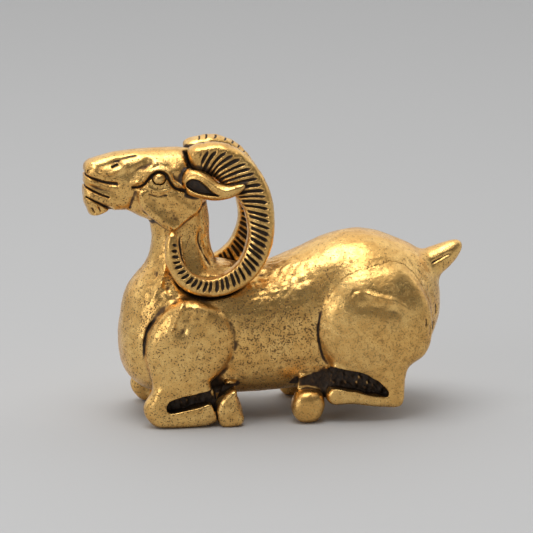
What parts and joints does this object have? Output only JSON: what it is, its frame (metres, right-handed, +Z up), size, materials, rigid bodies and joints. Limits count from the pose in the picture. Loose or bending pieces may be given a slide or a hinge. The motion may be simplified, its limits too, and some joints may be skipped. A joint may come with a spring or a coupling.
{
  "type": "ram figurine",
  "caption": "Small cast brass figurine of a reclining ram with ringed horns curled round its neck, legs folded under it; stands on its knees and hooves.",
  "frame": {"origin": "on the table plane, under the middle of the figure's bounding box", "axes": "+X towards the tail and -X towards the muzzle, -Y is the animal's left side, +Z up"},
  "size_m": [0.0553, 0.0214, 0.0404],
  "materials": {
    "brass": "satin polished, antiqued dark brown in the recesses"
  },
  "bodies": {
    "root": {"torso": "brass", "neck": "brass", "head": "brass", "lower_jaw": "brass", "beard": "brass", "tail": "brass", "left_horn": "brass", "right_horn": "brass", "left_ear": "brass", "right_ear": "brass", "left_eye": "brass", "right_eye": "brass", "front_left_upper_leg": "brass", "front_left_cannon": "brass", "front_left_hoof": "brass", "front_right_upper_leg": "brass", "front_right_cannon": "brass", "front_right_hoof": "brass", "rear_left_upper_leg": "brass", "rear_left_cannon": "brass", "rear_left_hoof": "brass", "rear_right_upper_leg": "brass", "rear_right_cannon": "brass", "rear_right_hoof": "brass"}
  },
  "joints": []
}
